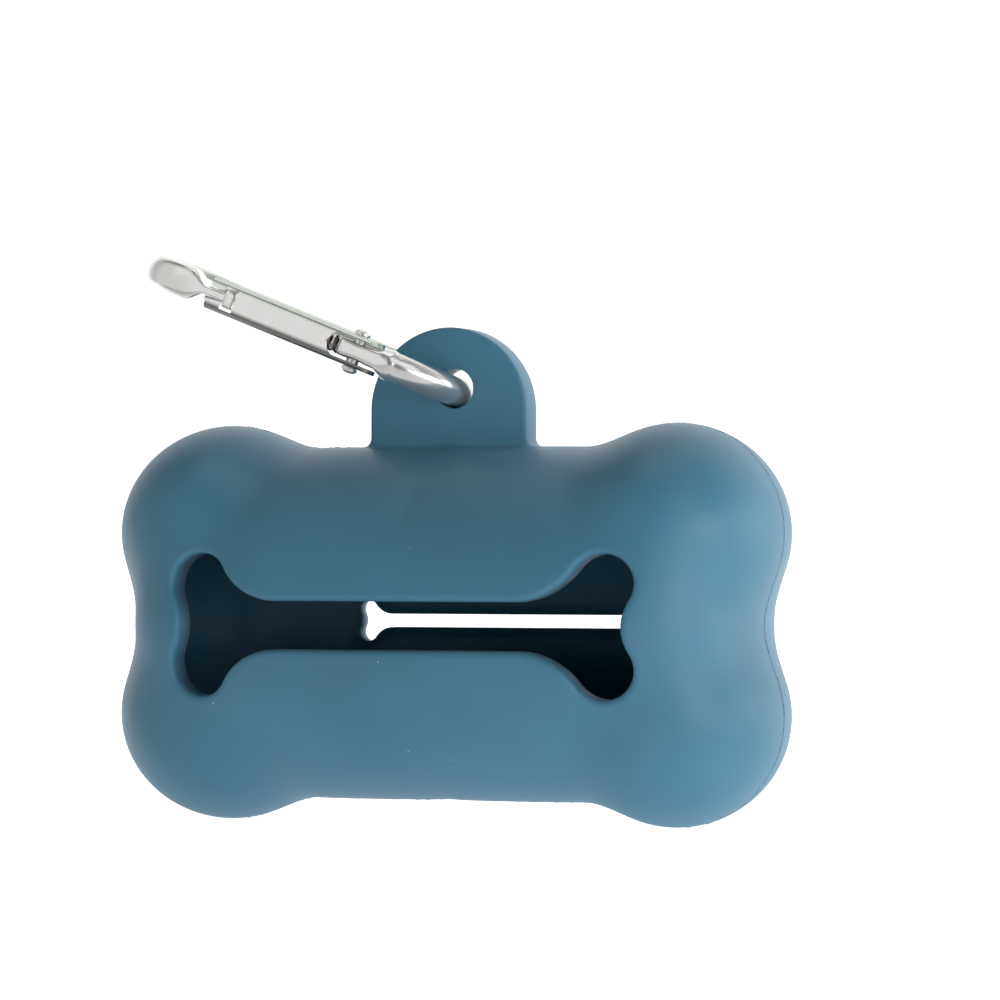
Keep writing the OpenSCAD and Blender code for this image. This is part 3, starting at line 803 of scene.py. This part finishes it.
def worked_metal(name, colour, roughness, streak, green_band=0.0, painted_shade=0.0):
    """Worked metal, plated or bare: cloudy shine, draw marks stretched along the piece and a
    warmer tint in places. On the clip's upper edge lies a faint greenish band, and along its
    lower one a band of painted shade, each as strong as the last two arguments say."""
    material, nodes, links, shader = new_material(name)
    shader.inputs["Metallic"].default_value = 0.86
    place = nodes.new("ShaderNodeTexCoord")
    lie = nodes.new("ShaderNodeMapping")
    links.new(place.outputs["Object"], lie.inputs["Vector"])
    lie.inputs["Rotation"].default_value = (0, -CLIP_LEAN, 0)
    lie.inputs["Scale"].default_value = streak
    marks = nodes.new("ShaderNodeTexNoise")
    links.new(lie.outputs[0], marks.inputs["Vector"])
    marks.inputs["Scale"].default_value = 1.0
    marks.inputs["Detail"].default_value = 3.0
    cloud = nodes.new("ShaderNodeTexNoise")
    links.new(place.outputs["Object"], cloud.inputs["Vector"])
    cloud.inputs["Scale"].default_value = 420.0
    cloud.inputs["Detail"].default_value = 4.0
    tint = nodes.new("ShaderNodeValToRGB")
    links.new(cloud.outputs["Fac"], tint.inputs["Fac"])
    low, high = tint.color_ramp.elements
    low.position, high.position = 0.35, 0.7
    low.color = (*(np.array(colour) * [0.96, 0.95, 0.92]), 1)
    high.color = (*colour, 1)
    height = nodes.new("ShaderNodeVectorMath")
    height.operation = "DOT_PRODUCT"
    links.new(place.outputs["Object"], height.inputs[0])
    height.inputs[1].default_value = -clip_axes[2]
    middle = float(clip_origin @ -clip_axes[2]) * MM
    laid = tint.outputs["Color"]
    # First the greenish band on the upper edge, then the painted shade on the lower edge.
    for share, start, end, shade in (
            (green_band, GREEN_BAND_FROM, GREEN_BAND_FULL, GREEN_BAND_COLOUR), (painted_shade, PAINTED_SHADE_FROM, PAINTED_SHADE_FULL, PAINTED_SHADE_COLOUR)):
        band = nodes.new("ShaderNodeMix")
        band.data_type = "RGBA"
        links.new(ramp(nodes, links, height.outputs["Value"], middle + start, middle + end,
                       0.0, share), band.inputs["Factor"])
        links.new(laid, band.inputs["A"])
        band.inputs["B"].default_value = (*shade, 1)
        laid = band.outputs["Result"]
    links.new(laid, shader.inputs["Base Color"])
    shine = ramp(nodes, links, cloud.outputs["Fac"], 0.0, 1.0, roughness * 0.7, roughness * 1.3)
    links.new(shine, shader.inputs["Roughness"])
    scratch = nodes.new("ShaderNodeBump")
    scratch.inputs["Strength"].default_value = 0.25
    scratch.inputs["Distance"].default_value = 0.00002
    links.new(marks.outputs["Fac"], scratch.inputs["Height"])
    links.new(scratch.outputs["Normal"], shader.inputs["Normal"])
    return material


wire.data.materials.append(
    worked_metal("drawn_nickel", (0.84, 0.84, 0.84), 0.22, (300, 5000, 5000), green_band=0.35))

# The gate: a strip of steel sheet folded to a channel, nickel plated after its openings are
# punched. Its web holds the catch's pocket, and its two ears turn on the rivet.
EDGE_BREAK = 0.00006


def broken_edges(node, name, body):
    """A copy of a CAD node in its place on a body: its triangles merged to whole faces, and
    its edges rounded."""
    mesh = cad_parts[node].data.copy()
    mesh.name = name
    mesh.materials.clear()
    made = bmesh.new()
    made.from_mesh(mesh)
    bmesh.ops.remove_doubles(made, verts=made.verts, dist=MERGE * 20)
    bmesh.ops.dissolve_limit(made, angle_limit=np.radians(0.6), verts=made.verts,
                             edges=made.edges)
    made.to_mesh(mesh)
    made.free()
    mesh.shade_smooth()
    mesh.set_sharp_from_angle(angle=np.radians(28))
    piece = bpy.data.objects.new(name, mesh)
    scene.collection.objects.link(piece)
    bevel = piece.modifiers.new("edges", "BEVEL")
    bevel.width = EDGE_BREAK
    bevel.segments = 2
    bevel.limit_method = "ANGLE"
    bevel.angle_limit = np.radians(35)
    bevel.harden_normals = True
    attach(piece, body)
    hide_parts(node)
    return piece


gate = broken_edges("clip_gate", "gate_channel", "gate")
# The gate's lower edge is darkened with painted shade.
gate.data.materials.append(worked_metal(
    "sheet_nickel", (0.86, 0.86, 0.86), 0.25, (260, 3600, 3600), green_band=0.75, painted_shade=0.85))

# The rivet: soft steel wire pressed through the tongue, nickel plated. The gate's ears turn
# on it, and its ends are set to low round heads.
RIVET_RADIUS, RIVET_HEAD_RADIUS = 0.75, 0.95
RIVET_SHOULDER, RIVET_HEAD = 1.98, 0.7
HEAD_EDGE = 0.04
DOME_SHARE = 0.62
POLE_RADIUS = 0.02


def turned(profile, centre, axis, count):
    """A profile of radius and height turned about a line through centre along axis: each
    point goes round as the cosine and sine of the angle times its radius."""
    radius, height = np.array(profile).T[:, :, None]
    angle = 2 * np.pi * np.arange(count) / count
    sides = [i for i in range(3) if i != axis]
    rings = np.empty((len(profile), count, 3))
    rings[..., axis] = centre[axis] + height
    rings[..., sides[0]] = centre[sides[0]] + radius * np.cos(angle)
    rings[..., sides[1]] = centre[sides[1]] + radius * np.sin(angle)
    return rings


def dome(radius, base, top, count):
    """Radius and height over a low dome: straight up, then a quarter ellipse to its pole."""
    turn = np.linspace(0, np.pi / 2, count, endpoint=False)
    rise = (top - base) * DOME_SHARE
    foot = [(radius - HEAD_EDGE, base), (radius, base + HEAD_EDGE)]
    crown = [(radius * np.cos(t), top - rise + rise * np.sin(t)) for t in turn]
    return foot + crown + [(POLE_RADIUS, top)]


upper = dome(RIVET_HEAD_RADIUS, RIVET_SHOULDER, RIVET_SHOULDER + RIVET_HEAD, 9)
lower = [(radius, -height) for radius, height in upper[::-1]]
shank = [(RIVET_RADIUS, -RIVET_SHOULDER), (RIVET_RADIUS, RIVET_SHOULDER)]
points, faces = tube(turned(lower + shank + upper, (PIVOT_X, -BEND_RADIUS, 0), 2, 40))
rivet = new_piece("hinge_rivet", in_clip(points), faces, "clip")
rivet.data.set_sharp_from_angle(angle=np.radians(40))
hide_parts("gate_rivet")
rivet.data.materials.append(
    worked_metal("rivet_nickel", (0.78, 0.78, 0.76), 0.26, (900, 900, 900)))

# The coil: spring wire wound on a mandrel. It lies in the gate's channel and pushes against
# the tongue's end, which shuts the gate.
COIL_X, COIL_LENGTH, COIL_TURNS = 12.55, 10.4, 12
COIL_RADIUS, COIL_WIRE = 0.89, 0.16
COIL_STEPS, COIL_SIDES = 32, 12


def coil_rings():
    """A tube on a helix of even pitch: a circle of the wire's radius, square to the helix at
    every point."""
    t = np.linspace(0, 1, COIL_TURNS * COIL_STEPS + 1)
    angle = 2 * np.pi * COIL_TURNS * t[:, None]
    run = COIL_LENGTH - 2 * COIL_WIRE
    x = COIL_X + COIL_WIRE + run * t[:, None]
    out = np.concatenate([0 * angle, np.cos(angle), np.sin(angle)], axis=1)
    centre = np.concatenate([x, 0 * x - BEND_RADIUS, 0 * x], axis=1) + out * COIL_RADIUS
    along = np.gradient(centre, axis=0)
    along /= np.linalg.norm(along, axis=1)[:, None]
    side = np.cross(along, out)
    ring = 2 * np.pi * np.arange(COIL_SIDES)[:, None] / COIL_SIDES
    return centre[:, None] + COIL_WIRE * (
        np.cos(ring) * out[:, None] + np.sin(ring) * side[:, None])


points, faces = tube(coil_rings())
spring = new_piece("gate_coil", in_clip(points), faces, "gate")
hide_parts("gate_spring")
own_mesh(spring)
spring.data.materials.append(
    worked_metal("spring_steel", (0.16, 0.12, 0.09), 0.34, (800, 800, 800)))

# The guide pin: turned brass. Its stem keeps the coil straight, and its head takes the
# coil's push against the gate's dents.
GUIDE_X, GUIDE_HEAD, GUIDE_RADIUS = 23.0, 1.1, 1.05
GUIDE_EDGE = 0.08
STEM_RADIUS, STEM_LENGTH, STEM_TIP = 0.45, 6.0, 0.3
pin_profile = [
    (POLE_RADIUS, -STEM_LENGTH), (STEM_RADIUS * 0.7, 0.06 - STEM_LENGTH),
    (STEM_RADIUS, STEM_TIP - STEM_LENGTH), (STEM_RADIUS, 0.0),
    (GUIDE_RADIUS - GUIDE_EDGE, 0.0), (GUIDE_RADIUS, GUIDE_EDGE),
    (GUIDE_RADIUS, GUIDE_HEAD - GUIDE_EDGE), (GUIDE_RADIUS - GUIDE_EDGE, GUIDE_HEAD),
    (POLE_RADIUS, GUIDE_HEAD),
]
points, faces = tube(turned(pin_profile, (GUIDE_X, -BEND_RADIUS, 0), 0, 32))
pin = new_piece("guide_pin", in_clip(points), faces, "gate")
pin.data.set_sharp_from_angle(angle=np.radians(40))
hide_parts("spring_guide")
pin.data.materials.append(
    worked_metal("turned_brass", (0.62, 0.43, 0.21), 0.30, (3000, 800, 3000)))
